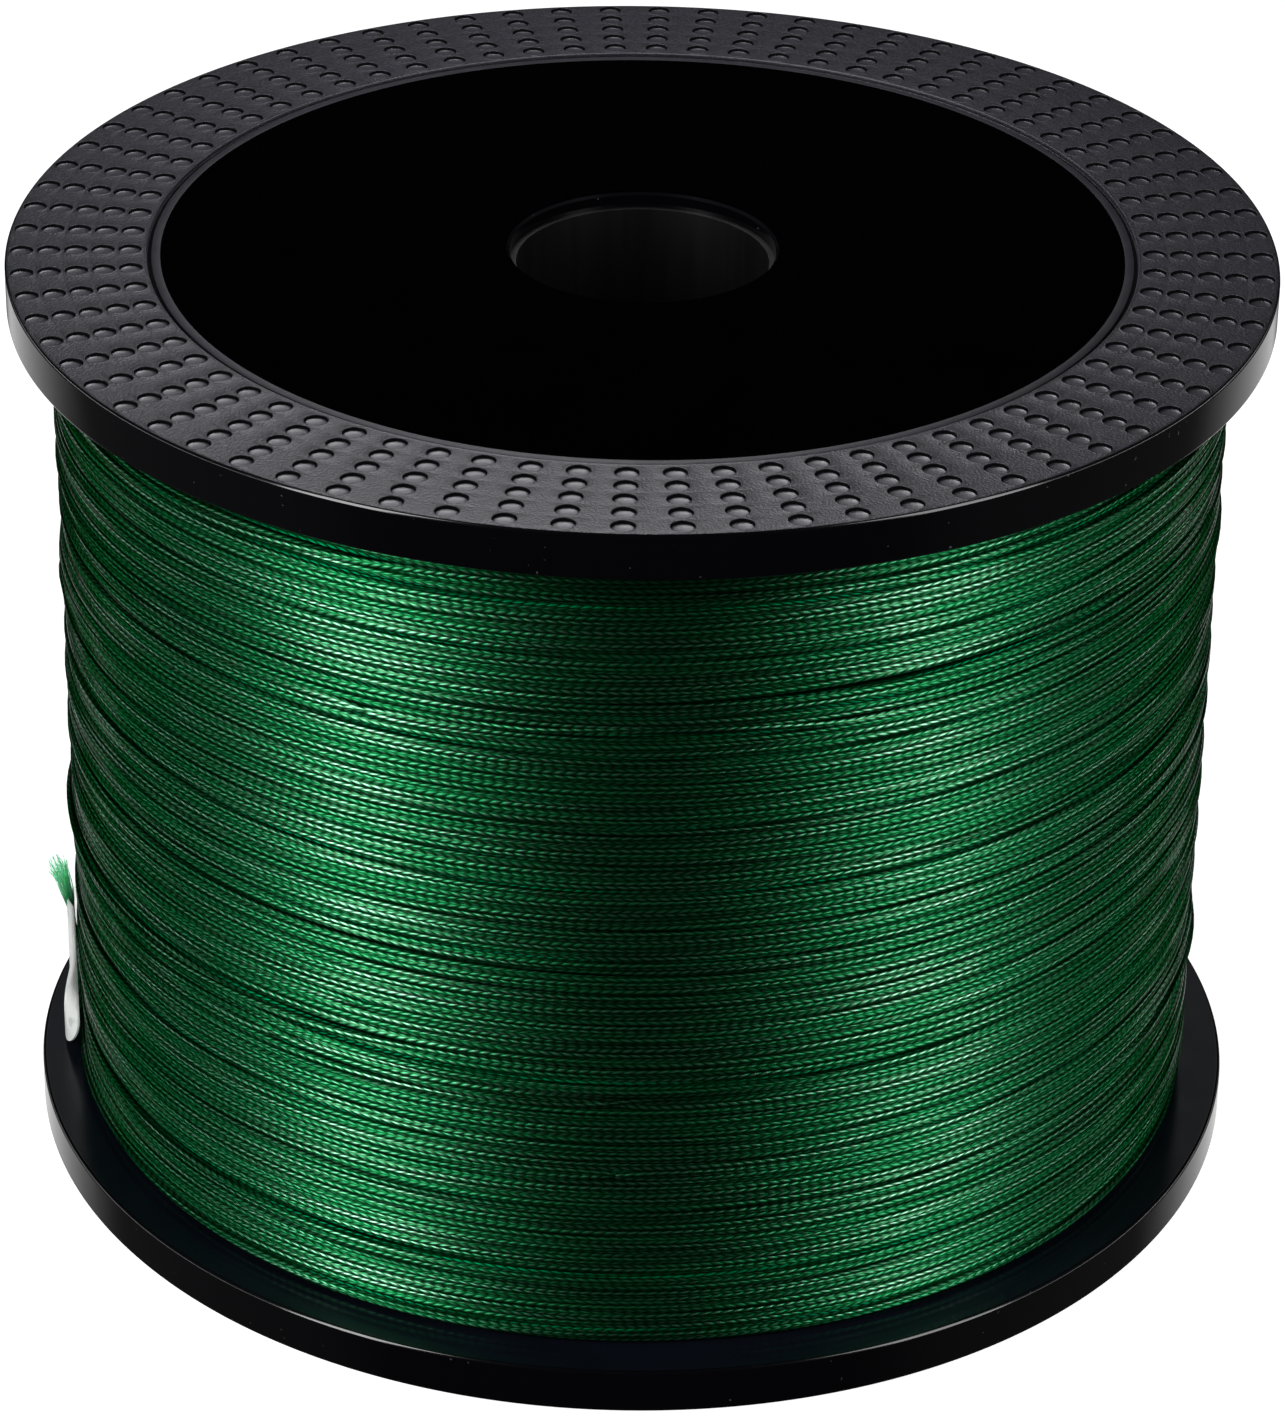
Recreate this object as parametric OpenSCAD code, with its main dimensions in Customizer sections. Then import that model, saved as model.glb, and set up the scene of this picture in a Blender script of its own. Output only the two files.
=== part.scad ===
// Bulk spool of braided fishing line.
// Two equal flanges close a barrel and an arbor tube, the line is wound between
// them, and a strip of clear tape holds its loose end on the outside.
// The base rests on Z = 0, and +Z runs along the arbor.

/* [Spool] */
// Overall height, outer face to outer face
overall_h = 76.7; // [60:0.1:110]
// Diameter of both flanges
flange_d = 100; // [90:1:120]
// Thickness of a flange at its rim
rim_t = 3.8; // [3:0.1:6]
// Radius on the rim's two edges
rim_edge_r = 0.3; // [0.1:0.05:0.3]

/* [Dimples] */
// Width of the dimpled band inside the rim
band_w = 11.05; // [10.5:0.05:13]
// Radial rows of dimples round a flange
dimple_rows = 72; // [12:1:80]
// Dimples in one row
dimples_per_row = 5; // [2:1:5]
// Diameter of a dimple
dimple_d = 1.9; // [0.8:0.1:1.9]
// Depth of a dimple
dimple_depth = 0.35; // [0.1:0.05:0.6]
// From the band's edges to the centres of the nearest dimples
dimple_margin = 1.3; // [1.2:0.05:1.5]
// Turn of the upper flange against the lower one, in degrees
upper_turn = 3.75; // [0:0.25:5]

/* [Labels] */
// Depth of the sunken seat inside the band
seat_depth = 0.4; // [0.3:0.05:0.8]
// Ring of the seat left bare round the label
seat_margin = 0.35; // [0.2:0.05:5]
// Label thickness
label_t = 0.2; // [0.1:0.05:0.3]
// Hole in the middle of the label
label_hole_d = 21.5; // [21.5:0.5:30]

/* [Barrel and arbor] */
// Outside diameter of the barrel that the line is wound on
barrel_d = 65; // [55:0.5:70]
// Barrel wall
barrel_wall = 2; // [1.5:0.1:3]
// Diameter of the arbor bore
arbor_bore_d = 20; // [12:0.5:20]
// Arbor tube wall
arbor_wall = 2.5; // [2:0.1:3]

/* [Line] */
// Diameter of the braided line
line_d = 0.5; // [0.3:0.05:1]
// Depth left free between the finished winding and the rim
free_depth = 3.25; // [2.5:0.05:6]
// Turns drawn in the outer layer
turns = 24; // [8:1:24]
// Height of the loose end's frayed tip above the base
tail_top = 22; // [21.5:0.5:30]

/* [Tape] */
// Height of the clear tape over the loose end
tape_h = 13.3; // [10:0.1:14]
// Width of that tape, round the winding
tape_w = 9; // [6:0.5:12]

/* [Hidden] */
$fn = 96;
eps = 0.01;

// Glue gap round a spigot or a socket
glue_gap = 0.08;

flange_r = flange_d / 2;
seat_r = flange_r - band_w;
label_r = seat_r - seat_margin;
dimple_step = (band_w - 2 * dimple_margin) / (dimples_per_row - 1);
barrel_r = barrel_d / 2;
bore_r = arbor_bore_d / 2;
arbor_r = bore_r + arbor_wall;

// Space between the flanges, and the arbor tube's two ends in their sockets
winding_z0 = rim_t;
winding_z1 = overall_h - rim_t;
socket_floor = 1.6;
arbor_z0 = socket_floor;
arbor_z1 = overall_h - socket_floor;

// Inside of a flange: hole, socket collar, spigot ring and stiffening ribs
hole_r = bore_r + 0.5;
collar_r = arbor_r + 2.4;
collar_h = 6;
spigot_r = barrel_r - barrel_wall - glue_gap;
spigot_wall = 1.8;
spigot_h = 5;
ribs = 8;
rib_t = 1.5;
rib_h = 3.5;

// Winding: its bulk stops just below the drawn turns' flats, and its two
// shoulders are rounded where the turns next to the flanges sink in
rings_per_turn = 24;
sides = 6;
winding_r = flange_r - free_depth;
turn_r = winding_r - line_d / 2;
core_r = turn_r * cos(180 / rings_per_turn) - line_d / 2 - 0.05;
shoulder_r = 1.6;
first_turn_z = winding_z1 - shoulder_r - line_d;
last_turn_z = winding_z0 + shoulder_r;
pitch = (first_turn_z - last_turn_z) / turns;

// Loose end: it turns up off the last turn, runs under the tape and frays
tail_angle = 180;
tail_bend_r = 3;
tail_r = winding_r + line_d / 2 + 0.05;
tail_bend_steps = 6;
fray_d = 1.7;
fray_h = 5.1;
fray_steps = 3;

// Clear tape: flat on the turns, raised over the loose end
tape_t = 0.15;
tape_z0 = winding_z0 + 0.5;
tape_corner_r = min(4.2, tape_w / 2 - 0.3);
tape_lift = 0.85;
tape_steps = 24;

// Tape that holds the start of the line on the barrel
start_tape_t = 0.12;
start_tape_h = 12;
start_tape_z = 8;
start_tape_sweep = 40;

// Points of an arc in the order in which an outline needs them
function arc(x, y, r, from, to, steps = 4) =
    [for (i = [0:steps]) let(a = from + (to - from) * i / steps)
        [x + r * cos(a), y + r * sin(a)]];

function unit(v) = v / norm(v);
function on_drum(r, angle, z) = [r * cos(angle), r * sin(angle), z];

// One ring of a tube that lies on the drum: p is its centre, t its direction
function tube_ring(p, t, r) =
    let(out = unit([p.x, p.y, 0]), side = unit(cross(t, out)), up = cross(side, t))
    [for (k = [0:sides - 1]) let(a = 360 * (k + 0.5) / sides)
        p + r * (cos(a) * up + sin(a) * side)];

// An unbroken tube through path, closed at both ends, in triangles
module drum_tube(path, radii) {
    n = len(path);
    last = n - 1;
    points = [for (i = [0:last])
        let(t = unit(path[min(i + 1, last)] - path[max(i - 1, 0)]))
        each tube_ring(path[i], t, radii[i])];
    walls = [for (i = [0:last - 1], k = [0:sides - 1])
        let(a = i * sides + k, b = i * sides + (k + 1) % sides)
        each [[a, a + sides, b], [b, a + sides, b + sides]]];
    first_cap = [for (k = [1:sides - 2]) [0, k, k + 1]];
    last_cap = [for (k = [1:sides - 2])
        [last * sides, last * sides + k + 1, last * sides + k]];
    polyhedron(points, concat(walls, first_cap, last_cap), convexity = 4);
}

// ---- Spool ----

module dimples() {
    for (row = [0:dimple_rows - 1], ring = [0:dimples_per_row - 1])
        rotate(row * 360 / dimple_rows)
            translate([flange_r - dimple_margin - ring * dimple_step, 0, -eps])
                cylinder(d = dimple_d, h = dimple_depth + eps, $fn = 16);
}

// Outline of the disc from the hub hole to the rim, with its sunken seat
module disc_outline() {
    r = rim_edge_r;
    polygon(concat(
        [[hole_r, seat_depth], [seat_r, seat_depth], [seat_r, 0]],
        arc(flange_r - r, r, r, -90, 0),
        arc(flange_r - r, rim_t - r, r, 0, 90),
        [[hole_r, rim_t]]));
}

// A flange as it lies at the bottom: dimples and label seat face down
module flange() {
    difference() {
        union() {
            rotate_extrude() disc_outline();
            translate([0, 0, rim_t - eps])
                cylinder(r = collar_r, h = collar_h + eps);
            translate([0, 0, rim_t - eps]) difference() {
                cylinder(r = spigot_r, h = spigot_h + eps);
                translate([0, 0, -eps])
                    cylinder(r = spigot_r - spigot_wall, h = spigot_h + 3 * eps);
            }
            for (i = [0:ribs - 1]) rotate((i + 0.5) * 360 / ribs)
                translate([collar_r - 1, -rib_t / 2, rim_t - eps])
                    cube([spigot_r - spigot_wall / 2 - collar_r + 1, rib_t, rib_h + eps]);
        }
        cylinder(r = hole_r, h = rim_t + collar_h + 1);
        translate([0, 0, socket_floor])
            cylinder(r = arbor_r + glue_gap, h = rim_t + collar_h);
        dimples();
    }
}

module lower_flange() {
    color([0.05, 0.05, 0.06]) flange();
}

module upper_flange() {
    color([0.05, 0.05, 0.06])
        translate([0, 0, overall_h]) rotate([180, 0, upper_turn]) flange();
}

module barrel() {
    color([0.08, 0.08, 0.09]) translate([0, 0, winding_z0]) difference() {
        cylinder(r = barrel_r, h = winding_z1 - winding_z0);
        translate([0, 0, -1])
            cylinder(r = barrel_r - barrel_wall, h = winding_z1 - winding_z0 + 2);
    }
}

module arbor_tube() {
    color([0.08, 0.08, 0.09]) translate([0, 0, arbor_z0]) difference() {
        cylinder(r = arbor_r, h = arbor_z1 - arbor_z0);
        translate([0, 0, -1]) cylinder(r = bore_r, h = arbor_z1 - arbor_z0 + 2);
    }
}

// ---- Labels ----

module label() {
    difference() {
        cylinder(r = label_r, h = label_t);
        translate([0, 0, -1]) cylinder(d = label_hole_d, h = label_t + 2);
    }
}

module lower_label() {
    color([0.02, 0.02, 0.02]) translate([0, 0, seat_depth - label_t]) label();
}

module upper_label() {
    color([0.02, 0.02, 0.02]) translate([0, 0, overall_h - seat_depth]) label();
}

// ---- Line ----

// A strip of the barrel's outer skin, t thick
module barrel_strip(t, margin) {
    translate([0, 0, start_tape_z - margin])
        rotate_extrude(angle = start_tape_sweep)
            translate([barrel_r, 0]) square([t, start_tape_h + 2 * margin]);
}

module start_tape() {
    color([0.75, 0.72, 0.6]) barrel_strip(start_tape_t, 0);
}

// Everything under the outer layer, as one closed ring round the barrel
module line_core() {
    s = shoulder_r;
    color([0.0, 0.22, 0.1]) difference() {
        rotate_extrude() polygon(concat(
            [[barrel_r, winding_z0], [core_r - s, winding_z0]],
            arc(core_r - s, winding_z0 + s, s, -90, 0),
            arc(core_r - s, winding_z1 - s, s, 0, 90),
            [[barrel_r, winding_z1]]));
        rotate(-0.5) translate([0, 0, start_tape_z - 0.2])
            rotate_extrude(angle = start_tape_sweep + 1) translate([barrel_r - eps, 0])
                square([start_tape_t + 0.1, start_tape_h + 0.4]);
    }
}

// Path of the outer layer: down the drum from the top, with a short straight
// stretch along the line at each end
function layer_point(i) = on_drum(turn_r, tail_angle + 360 * i / rings_per_turn,
                                  first_turn_z - pitch * i / rings_per_turn);
layer_steps = turns * rings_per_turn;
layer_turns = [for (i = [0:layer_steps]) layer_point(i)];
layer_head = layer_turns[0] - line_d * unit(layer_turns[1] - layer_turns[0]);
layer_heading = unit(layer_turns[layer_steps] - layer_turns[layer_steps - 1]);
layer_foot = layer_turns[layer_steps] + line_d * layer_heading;
layer_path = concat([layer_head], layer_turns, [layer_foot]);

// Clear space between one turn and the next, at the nearest pair of rings
turn_gap = min([for (i = [0:layer_steps - rings_per_turn])
    norm(layer_turns[i + rings_per_turn] - layer_turns[i])]) - line_d;
echo("least gap between turns, mm", turn_gap);  // line_outer_layer

module line_outer_layer() {
    color([0.05, 0.4, 0.22])
        drum_tube(layer_path, [for (p = layer_path) line_d / 2]);
}

// Path of the loose end: out over the turns, up the drum and into the fray
tail_start = atan2(layer_foot.y, layer_foot.x);
tail_bend = [for (i = [1:tail_bend_steps]) let(a = 90 * i / tail_bend_steps)
    on_drum(turn_r + (tail_r - turn_r) * min(1, 2 * i / tail_bend_steps),
            tail_start + tail_bend_r * sin(a) / turn_r * 180 / PI,
            layer_foot.z + tail_bend_r * (1 - cos(a)))];
tail_up = tail_bend[tail_bend_steps - 1];
tail_run = [for (i = [0:fray_steps]) let(f = i / fray_steps)
    [tail_up.x, tail_up.y, 0] * (1 + 0.012 * f * f)
        + [0, 0, tail_top - fray_h * (1 - f)]];
tail_path = concat([layer_foot, layer_foot + line_d * layer_heading], tail_bend, tail_run);
tail_radii = concat([for (i = [0:tail_bend_steps + 1]) line_d / 2],
    [for (i = [0:fray_steps]) (line_d + (fray_d - line_d) * i / fray_steps) / 2]);

module line_tail() {
    color([0.3, 0.75, 0.5]) drum_tube(tail_path, tail_radii);
}

// ---- Tape over the loose end ----

// How far the tape stands off the turns, from 0 at its edges to 1 at the line
function tape_rise(f) = pow(cos(180 * (f - 0.5)), 2);
function tape_edge(skin) = [for (i = [0:tape_steps])
    let(f = i / tape_steps, a = tail_face - tape_half + 2 * tape_half * f)
    (winding_r + 0.02 + tape_lift * tape_rise(f) + skin) * [cos(a), sin(a)]];
tail_face = atan2(tail_up.y, tail_up.x);
tape_half = tape_w / 2 / winding_r * 180 / PI;

module end_tape() {
    inner = tape_edge(0);
    outer = tape_edge(tape_t);
    color([0.9, 0.92, 0.9, 0.6]) intersection() {
        translate([0, 0, tape_z0]) linear_extrude(tape_h)
            polygon(concat(inner, [for (i = [tape_steps:-1:0]) outer[i]]));
        rotate(tail_face) rotate([90, 0, 90]) linear_extrude(flange_r)
            translate([-tape_w / 2 - 1, tape_z0]) rounded_flag();
    }
}

// The tape's face: straight at the top, round at its lower corners
module rounded_flag() {
    hull() {
        for (x = [tape_corner_r + 1, tape_w + 1 - tape_corner_r])
            translate([x, tape_corner_r]) circle(tape_corner_r, $fn = 32);
        translate([0, tape_h - 1]) square([tape_w + 2, 1]);
    }
}

upper_flange();
lower_flange();
barrel();
arbor_tube();
upper_label();
lower_label();
start_tape();
line_core();
line_outer_layer();
line_tail();
end_tape();
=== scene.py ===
"""Looks of a bulk spool of braided line: two dimpled flanges, black labels, the
wound line with its taped and frayed end, and the studio round them.

Lengths are in millimetres in the shape functions and become metres in piece().
The camera, the lamps and their distances are in metres.
"""

import math

import bpy
import numpy as np
from mathutils import Matrix

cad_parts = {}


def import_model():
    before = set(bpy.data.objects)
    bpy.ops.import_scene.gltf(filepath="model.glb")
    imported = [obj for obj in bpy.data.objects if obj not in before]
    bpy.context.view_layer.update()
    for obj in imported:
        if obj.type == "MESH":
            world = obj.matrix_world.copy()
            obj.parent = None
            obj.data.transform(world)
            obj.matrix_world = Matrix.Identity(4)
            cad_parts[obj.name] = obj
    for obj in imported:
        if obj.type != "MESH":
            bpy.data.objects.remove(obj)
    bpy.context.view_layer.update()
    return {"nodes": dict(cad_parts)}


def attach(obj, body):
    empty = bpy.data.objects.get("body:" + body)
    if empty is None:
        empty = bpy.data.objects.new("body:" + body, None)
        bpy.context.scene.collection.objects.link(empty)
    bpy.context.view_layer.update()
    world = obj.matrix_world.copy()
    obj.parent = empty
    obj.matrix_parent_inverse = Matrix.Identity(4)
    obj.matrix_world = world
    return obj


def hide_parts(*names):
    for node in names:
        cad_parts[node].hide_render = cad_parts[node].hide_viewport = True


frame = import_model()

MM = 0.001
TURN = 2 * math.pi

# Camera: radians and metres
CAMERA_TILT = 0.5102
CAMERA_ROLL = 0.0146
CAMERA_LENS = 136.85
CAMERA_SENSOR = 36
CAMERA_AIM = np.array([0, 0, 0.03835])
CAMERA_BACK = 0.4426
CAMERA_ASIDE = 0.0005
CAMERA_DROP = 0.003206

# Spool, as the solids have it
HEIGHT = 76.7
FLANGE_R = 50.0
RIM_T = 3.8
EDGE_R = 0.3
SEAT_R = 38.95
SEAT_DEPTH = 0.4
UPPER_TURN = math.radians(3.75)

# Inside of a flange: the barrel's spigot and the arbor's collar, each with its inner
# and outer radius and the height of its end, then the arbor's socket and the hole
SPIGOT = (28.62, 30.42, 8.8)
COLLAR = (12.58, 14.9, 9.8)
SOCKET_Z = 1.6
HUB_R = 10.5
CHAMFER = 0.2

# Finishes of a flange, as places in its list of materials
# The dull finish of a dimple's wall is darker than the face, as painted shade; SHADE gives the
# inner face beside the line less reflection, as painted shade
GRAIN, GLOSS, DULL_SHADE, SATIN, SHADE = range(5)
# Bands of the rim's outer edge that keep the grain
GRAINED_EDGE = 2

# Dimples: radial rows, each dimple inside a faint raised lip on a face that lies
# FACE below the lips
FACE = 0.03
ROWS = 72
PER_ROW = 5
ROW_STEP = TURN / ROWS
DIMPLE_R = 0.95
DIMPLE_DEPTH = 0.345
FIRST_RING = 40.25
RING_STEP = 2.1125
BAND_R0 = 39.19
BAND_R1 = FLANGE_R - EDGE_R
# Points on one side of a cell, and on each ring round it
SIDE = 4
AROUND = 4 * SIDE
# Rings of a dimple, from the lip's foot to the dished floor: share of DIMPLE_R, depth
DIMPLE_LEVELS = ((1.10, FACE), (1.03, FACE - 0.024), (1.0, FACE - 0.019), (0.97, 0.05),
                 (0.93, 0.24), (0.88, 0.272), (0.66, 0.318), (0.34, 0.341))
# Finish of each band of a cell, from its border inwards; the middle is SATIN
# The two dull bands are the dimple's wall, in a darker finish that paints the shade inside the
# dimple
CELL_FINISH = (GRAIN, GRAIN, GRAIN, GRAIN, DULL_SHADE, DULL_SHADE, SATIN, SATIN)

# Labels
LABEL_R = 38.6
LABEL_HOLE_R = 10.75
LABEL_T = 0.2
LABEL_EDGE_R = 0.05
BORDER_R = 37.9
PAPER, BORDER = range(2)

# Winding: the drum, and the line's turns on it
BARREL_R = 32.5
WOUND_R = 46.55
LOW = RIM_T
HIGH = HEIGHT - RIM_T
SHOULDER = 1.6
SHOULDER_SINK = 0.75
TURNS = 125
PER_TURN = 144
LINE_D = 0.5
# Braid: its period along the line, and the columns of strands round it
BRAID = 0.85
BRAID_COLUMNS = 4

# Waves of the winding's surface: length along the drum, height
WAVES = ((2.3, 0.035), (3.1, 0.055), (3.9, 0.06), (5.3, 0.05), (7.7, 0.05), (12.0, 0.06))

# Outer layer: half its section's width, the product of the section's two halves, and
# the depth of its centre, of the layer below and of the bulk under WOUND_R
HALF_WIDE = 0.242
HALF_PRODUCT = 0.058
OUTER_DEPTH = 0.23
BELOW_DEPTH = 0.66
BULK_DEPTH = 0.80
BELOW_HALF = 0.27
BELOW_FLATTEN = 0.85
OUTER_SIDES = 10
BELOW_SIDES = 6
FULLNESS = 0.82

# Run of both layers along the drum: gap between a centreline's end and the flange,
# and wanders of it; an outer one is a height, a reach in samples and a seed
OUTER_GAP = 0.27
OUTER_WANDERS = ((0.14, 14, 1), (0.17, 50, 2))
WIDTH_WANDER = 0.10
BELOW_GAP = 0.3
BELOW_WANDER = 0.10
BELOW_MARGIN = 0.26
# The outer layer's head, and its foot, where the loose end starts
HEAD_SAMPLES = 12
HEAD_DIVE = 0.5
FOOT_SAMPLES = 40
FOOT_GAP = 0.3

# How the outer layer beds on the one below: its first height over it, the grid's step,
# a lower turn's height and reach, the lowest place between two turns, and the sinking
# in each round
FIRST_LIFT = 0.3
BED_STEP = 0.03
BED_HEIGHT = 0.42
BED_REACH = 0.52
BED_LOWEST = -0.3
SINK = 0.025
ROUNDS = 70

# Stretches that cross their neighbours: how many, and how far they rise
RIDERS = 16
RIDER_RISE = 0.36

# Loose end: it turns off the last turn up along the drum, and leans out at its top
TAIL_ANGLE = math.pi
BEND_R = 3.0
TAIL_R = 46.75
TAIL_TOP = 16.35
TAIL_LEAN = 0.45
LEAN_Z0 = 12.5
LEAN_RUN = 3.5
BEND_STEPS = 16
RUN_STEPS = 21
TAIL_HALF = 0.25
TAIL_SIDES = 12

# Frayed tip: the fibres, the patch that they start on and the one that they reach
FIBRES = 90
FIBRE_STEPS = 9
FIBRE_SIDES = 3
FIBRE_HALF = 0.065
FIBRE_ROOT = 0.5
FIBRE_RISE = 5.1
FOOT_R = 0.24
TIP_LEAN = 0.95
TIP_OUT_R = 0.62
TIP_SIDE_R = 0.85
TIP_STRAY = 0.15
BOW = 0.16

# Tape: the strip, the ridge over the line, and the peeled lower part
TAPE_Z0 = 4.1
TAPE_H = 13.3
TAPE_W = 9.0
TAPE_T = 0.15
TAPE_R = 46.85
TAPE_CORNER_R = 4.2
RIDGE = 0.54
RIDGE_HALF = 1.25
PEEL = 1.15
PEEL_CURL = 0.057
PEEL_TOP = 9.5
PEEL_RUN = 7

# Studio: what glossy pieces see of it, from strong to dim, and the floor
STRIP_LIGHT = 5.0
BACK_LIGHT = 0.90
GLOW_LIGHT = 0.45
SIDE_LIGHT = 0.05
REST_LIGHT = 0.012
LAMP_AIM = np.array([0, 0, 0.038])
FLOOR_R = 1500.0
FLOOR_GAP = 0.02
# Lamps: name, azimuth, elevation, distance, width and height, watts
LAMPS = (("left_front", -141, 24, 0.75, (0.26, 0.75), 6.2),
         ("right_front", -33, 24, 0.75, (0.32, 0.75), 4.4),
         ("top", 106.7, 72, 0.1524, (0.06, 0.05), 0.16))


# ---- Camera ----

def unit(vectors):
    """Each vector divided by its length."""
    return vectors / np.linalg.norm(vectors, axis=-1, keepdims=True)


def stand(thing, right, up, back, place):
    """Puts a camera or a lamp in the scene at place, looking along -back."""
    thing.matrix_world = Matrix([[*row, at] for row, at in zip(zip(right, up, back), place)]
                                + [[0, 0, 0, 1]])
    bpy.context.scene.collection.objects.link(thing)


def camera():
    """The camera stands in front of the spool, 29 degrees above the horizon."""
    tilt = CAMERA_TILT
    roll = CAMERA_ROLL
    back = np.array([0, -math.cos(tilt), math.sin(tilt)])
    level = np.array([1.0, 0, 0])
    rise = np.array([0, math.sin(tilt), math.cos(tilt)])
    right = math.cos(roll) * level + math.sin(roll) * rise
    up = -math.sin(roll) * level + math.cos(roll) * rise
    place = CAMERA_AIM + CAMERA_BACK * back + CAMERA_ASIDE * level - CAMERA_DROP * rise
    data = bpy.data.cameras.new("camera")
    data.lens = CAMERA_LENS
    data.sensor_width = CAMERA_SENSOR
    data.clip_start = 0.01
    eye = bpy.data.objects.new("camera", data)
    stand(eye, right, up, back, place)
    bpy.context.scene.camera = eye


# ---- Node expressions ----

class Sock:
    """An output socket. Arithmetic on it adds the Math nodes of the expression."""

    def __init__(self, graph, socket):
        self.graph = graph
        self.socket = socket

    def maths(self, operation, *values):
        """A Math node on the given values."""
        inputs = dict(enumerate(values))
        return self.graph.node("ShaderNodeMath", {"operation": operation}, inputs)

    def __add__(self, other):
        return self.maths("ADD", self, other)

    def __sub__(self, other):
        return self.maths("SUBTRACT", self, other)

    def __rsub__(self, other):
        return self.maths("SUBTRACT", other, self)

    def __mul__(self, other):
        return self.maths("MULTIPLY", self, other)

    def __truediv__(self, other):
        return self.maths("DIVIDE", self, other)

    def __rtruediv__(self, other):
        return self.maths("DIVIDE", other, self)

    def __pow__(self, other):
        return self.maths("POWER", self, other)

    __radd__ = __add__
    __rmul__ = __mul__

    def fract(self):
        return self.maths("FRACT", self)

    def sin(self):
        return self.maths("SINE", self)

    def pingpong(self, top):
        return self.maths("PINGPONG", self, top)

    def highest(self, other):
        return self.maths("MAXIMUM", self, other)

    def ramp(self, low, high):
        """0 at low, 1 at high, smooth between them."""
        settings = {"interpolation_type": "SMOOTHSTEP"}
        inputs = {"Value": self, "From Min": low, "From Max": high}
        return self.graph.node("ShaderNodeMapRange", settings, inputs)


class Graph:
    """A node tree that is written as expressions."""

    def __init__(self, tree):
        self.tree = tree
        tree.nodes.clear()

    def node(self, kind, settings=None, inputs=None, output=0):
        """Adds a node: its settings first, then the values or links of its sockets."""
        made = self.tree.nodes.new(kind)
        for key, value in (settings or {}).items():
            setattr(made, key, value)
        for key, value in (inputs or {}).items():
            if isinstance(value, Sock):
                self.tree.links.new(value.socket, made.inputs[key])
            else:
                made.inputs[key].default_value = value
        return Sock(self, made.outputs[output]) if made.outputs else made

    def place(self):
        """Object coordinates."""
        return self.node("ShaderNodeTexCoord", output="Object")

    def uv(self):
        """The piece's own UV map, as its two numbers."""
        return self.split(self.node("ShaderNodeTexCoord", output="UV"))[:2]

    def split(self, vector):
        """The three numbers of a vector."""
        first = self.node("ShaderNodeSeparateXYZ", inputs={0: vector})
        outputs = first.socket.node.outputs
        return [Sock(self, outputs[i]) for i in range(3)]

    def rays(self):
        """Whether the ray comes from the camera, a clear piece or a glossy one."""
        outputs = self.node("ShaderNodeLightPath").socket.node.outputs
        names = ("Is Camera Ray", "Is Transmission Ray", "Is Glossy Ray")
        return [Sock(self, outputs[name]) for name in names]

    def noise(self, per_mm, detail, rough=0.5, stretch=None):
        """Noise with about per_mm lumps to the millimetre on Object coordinates."""
        at = self.place()
        if stretch:
            at = self.node("ShaderNodeVectorMath", {"operation": "MULTIPLY"}, {0: at, 1: stretch})
        inputs = {"Vector": at, "Scale": per_mm / MM, "Detail": detail, "Roughness": rough}
        return self.node("ShaderNodeTexNoise", inputs=inputs)

    def mix(self, factor, a, b):
        """Colour a where the factor is 0, colour b where it is 1."""
        settings = {"data_type": "RGBA"}
        return self.node("ShaderNodeMix", settings, {0: factor, 6: a, 7: b}, output=2)

    def bump(self, height, depth_mm, strength):
        """A normal tilted as if height 1 stood depth_mm above height 0."""
        inputs = {"Height": height, "Distance": depth_mm * MM, "Strength": strength}
        return self.node("ShaderNodeBump", inputs=inputs)


def finish(recipe):
    """A material named after its recipe, with the shader sockets that it returns."""
    material = bpy.data.materials.new(recipe.__name__)
    material.use_nodes = True
    graph = Graph(material.node_tree)
    shader = graph.node("ShaderNodeBsdfPrincipled", inputs=recipe(graph))
    graph.node("ShaderNodeOutputMaterial", inputs={"Surface": shader})
    return material


def rgb(red, green, blue):
    """A colour with full alpha."""
    return (red, green, blue, 1.0)


# ---- Finishes ----

COOL = rgb(0.93, 0.92, 1.0)


def grained_plastic(graph):
    """Moulded charcoal plastic with a fine spark-eroded grain and faint scuffs."""
    grain = graph.noise(5.0, 1.5, 0.5)
    mottle = graph.noise(0.35, 2.0)
    scuff = graph.noise(0.9, 3.0, 0.6, stretch=(1, 0.12, 1)).ramp(0.66, 0.8)
    tone = graph.mix(mottle * 0.4 + grain.ramp(0.35, 0.65) * 0.6,
                     rgb(0.002, 0.002, 0.004), rgb(0.010, 0.010, 0.014))
    return {
        "Base Color": graph.mix(scuff * 0.25, tone, rgb(0.05, 0.05, 0.06)),
        "Roughness": 0.44 + 0.16 * grain + 0.06 * scuff,
        "Specular Tint": COOL,
        "Normal": graph.bump(grain, 0.055, 1.0),
    }


def shaded_dimple_wall(graph):
    """Side of a dimple: the flange's black plastic made darker and duller than its face, as
    painted shade inside the dimple, with faint noise marks.
    """
    mark = graph.noise(3.0, 2.0)
    return {
        "Base Color": graph.mix(mark, rgb(0.0003, 0.0003, 0.0006), rgb(0.0012, 0.0012, 0.002)),
        "Roughness": 0.6 + 0.2 * mark,
        "Specular IOR Level": 0.06,
        "Normal": graph.bump(mark, 0.01, 0.5),
    }


def dimple_bottom(graph):
    """Smoother, satin bottom of a dimple."""
    mark = graph.noise(3.0, 2.0)
    return {
        "Base Color": graph.mix(mark, rgb(0.003, 0.003, 0.005), rgb(0.012, 0.012, 0.017)),
        "Roughness": 0.42 + 0.06 * mark,
        "Specular IOR Level": 0.65,
        "Specular Tint": COOL,
        "Normal": graph.bump(mark, 0.02, 0.8),
    }


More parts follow.
